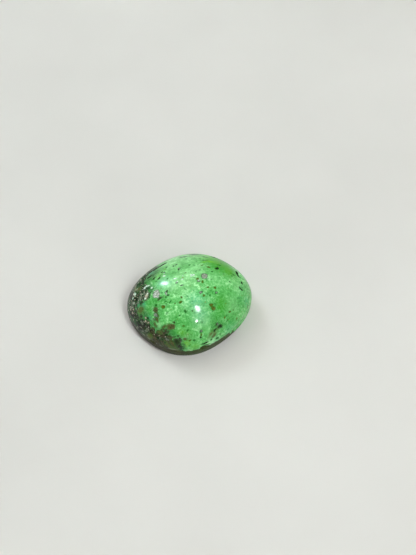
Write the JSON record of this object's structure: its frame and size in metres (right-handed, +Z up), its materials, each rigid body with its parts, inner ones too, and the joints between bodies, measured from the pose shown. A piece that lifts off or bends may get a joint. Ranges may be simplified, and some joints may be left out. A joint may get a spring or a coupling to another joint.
{
  "type": "turquoise cabochon",
  "caption": "Loose polished oval cabochon of green turquoise in dark host rock: a high dome over a crisp girdle, a short bevel and a flat back to rest on.",
  "frame": {"origin": "centre of the flat back, below the middle of the stone's outline", "axes": "+Z up through the dome, +X along the long axis towards the clean green end, -X towards the host rock"},
  "size_m": [0.02, 0.0166, 0.0089],
  "materials": {
    "turquoise": "polished"
  },
  "bodies": {
    "root": {"turquoise_cabochon": "turquoise"}
  },
  "joints": []
}
